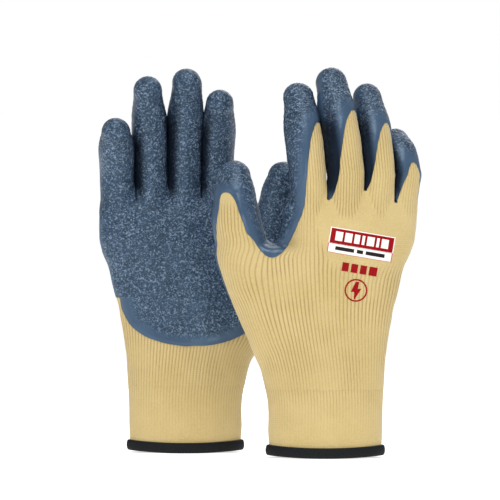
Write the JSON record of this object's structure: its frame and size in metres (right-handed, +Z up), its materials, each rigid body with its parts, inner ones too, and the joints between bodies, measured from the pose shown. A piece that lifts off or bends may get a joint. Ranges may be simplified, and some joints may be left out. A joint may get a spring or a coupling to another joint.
{
  "type": "pair of electrical insulating gloves",
  "caption": "Pair of seamless knitted work gloves with a crinkled latex palm dip, ribbed cuffs and bound hems, standing upright; each finger folds at its root.",
  "frame": {"origin": "on the ground plane that both hems stand on, midway between the gloves", "axes": "+Z up towards the fingertips, -Y towards the viewer who sees the back of the front glove and the palm of the rear glove, +X to that viewer's right"},
  "size_m": [0.2171, 0.1386, 0.256],
  "materials": {
    "knit": "fine ribbed knit, straw yellow",
    "latex": "crinkled slate-blue latex, satin sheen",
    "hem_yarn": "black overlock stitching",
    "elastic_yarn": "covered elastic yarn",
    "print_red": "red screen-printed film",
    "print_white": "white screen-printed film"
  },
  "bodies": {
    "front_hand": {"front_palm_liner": "knit", "front_rib_cuff": "knit", "front_cuff_hem": "hem_yarn", "front_cuff_elastic": "elastic_yarn", "front_palm_coating": "latex", "front_print_red_panel": "print_red", "front_print_white_panel": "print_white", "front_print_symbol": "print_red"},
    "front_index": {"front_index_liner": "knit", "front_index_coating": "latex"},
    "front_middle": {"front_middle_liner": "knit", "front_middle_coating": "latex"},
    "front_ring": {"front_ring_liner": "knit", "front_ring_coating": "latex"},
    "front_little": {"front_little_liner": "knit", "front_little_coating": "latex"},
    "front_thumb": {"front_thumb_liner": "knit", "front_thumb_coating": "latex"},
    "rear_hand": {"rear_palm_liner": "knit", "rear_rib_cuff": "knit", "rear_cuff_hem": "hem_yarn", "rear_cuff_elastic": "elastic_yarn", "rear_palm_coating": "latex", "rear_print_red_panel": "print_red", "rear_print_white_panel": "print_white", "rear_print_symbol": "print_red"},
    "rear_index": {"rear_index_liner": "knit", "rear_index_coating": "latex"},
    "rear_middle": {"rear_middle_liner": "knit", "rear_middle_coating": "latex"},
    "rear_ring": {"rear_ring_liner": "knit", "rear_ring_coating": "latex"},
    "rear_little": {"rear_little_liner": "knit", "rear_little_coating": "latex"},
    "rear_thumb": {"rear_thumb_liner": "knit", "rear_thumb_coating": "latex"}
  },
  "joints": [
    {"name": "front_index_flex", "type": "hinge", "parent": "front_hand", "child": "front_index", "pos_m": [0.033, -0.047, 0.186], "axis": [-0.9397, -0.342, 0], "range_deg": [-10, 75], "stiffness_Nm_per_rad": 0.03},
    {"name": "front_middle_flex", "type": "hinge", "parent": "front_hand", "child": "front_middle", "pos_m": [0.0585, -0.04478, 0.186], "axis": [-0.9397, -0.342, 0], "range_deg": [-10, 75], "stiffness_Nm_per_rad": 0.03},
    {"name": "front_ring_flex", "type": "hinge", "parent": "front_hand", "child": "front_ring", "pos_m": [0.08, -0.03868, 0.186], "axis": [-0.9397, -0.342, 0], "range_deg": [-10, 75], "stiffness_Nm_per_rad": 0.03},
    {"name": "front_little_flex", "type": "hinge", "parent": "front_hand", "child": "front_little", "pos_m": [0.0985, -0.03033, 0.186], "axis": [-0.9397, -0.342, 0], "range_deg": [-10, 75], "stiffness_Nm_per_rad": 0.03},
    {"name": "front_thumb_flex", "type": "hinge", "parent": "front_hand", "child": "front_thumb", "pos_m": [-0.013, -0.043, 0.15], "axis": [-1, 0, 0], "range_deg": [-10, 50], "stiffness_Nm_per_rad": 0.03},
    {"name": "rear_index_flex", "type": "hinge", "parent": "rear_hand", "child": "rear_index", "pos_m": [-0.0258, 0.04701, 0.186], "axis": [0.9903, 0.1392, 0], "range_deg": [-10, 75], "stiffness_Nm_per_rad": 0.03},
    {"name": "rear_middle_flex", "type": "hinge", "parent": "rear_hand", "child": "rear_middle", "pos_m": [-0.0476, 0.04396, 0.186], "axis": [0.9903, 0.1392, 0], "range_deg": [-10, 75], "stiffness_Nm_per_rad": 0.03},
    {"name": "rear_ring_flex", "type": "hinge", "parent": "rear_hand", "child": "rear_ring", "pos_m": [-0.0701, 0.04081, 0.186], "axis": [0.9903, 0.1392, 0], "range_deg": [-10, 75], "stiffness_Nm_per_rad": 0.03},
    {"name": "rear_little_flex", "type": "hinge", "parent": "rear_hand", "child": "rear_little", "pos_m": [-0.0933, 0.03756, 0.186], "axis": [0.9903, 0.1392, 0], "range_deg": [-10, 75], "stiffness_Nm_per_rad": 0.03},
    {"name": "rear_thumb_flex", "type": "hinge", "parent": "rear_hand", "child": "rear_thumb", "pos_m": [0.0122, 0.043, 0.15], "axis": [1, 0, 0], "range_deg": [-10, 50], "stiffness_Nm_per_rad": 0.03},
    {"name": "pair_apart", "type": "slide", "parent": "rear_hand", "child": "front_hand", "axis": [0, -1, 0], "range_m": [0, 0.12]}
  ]
}
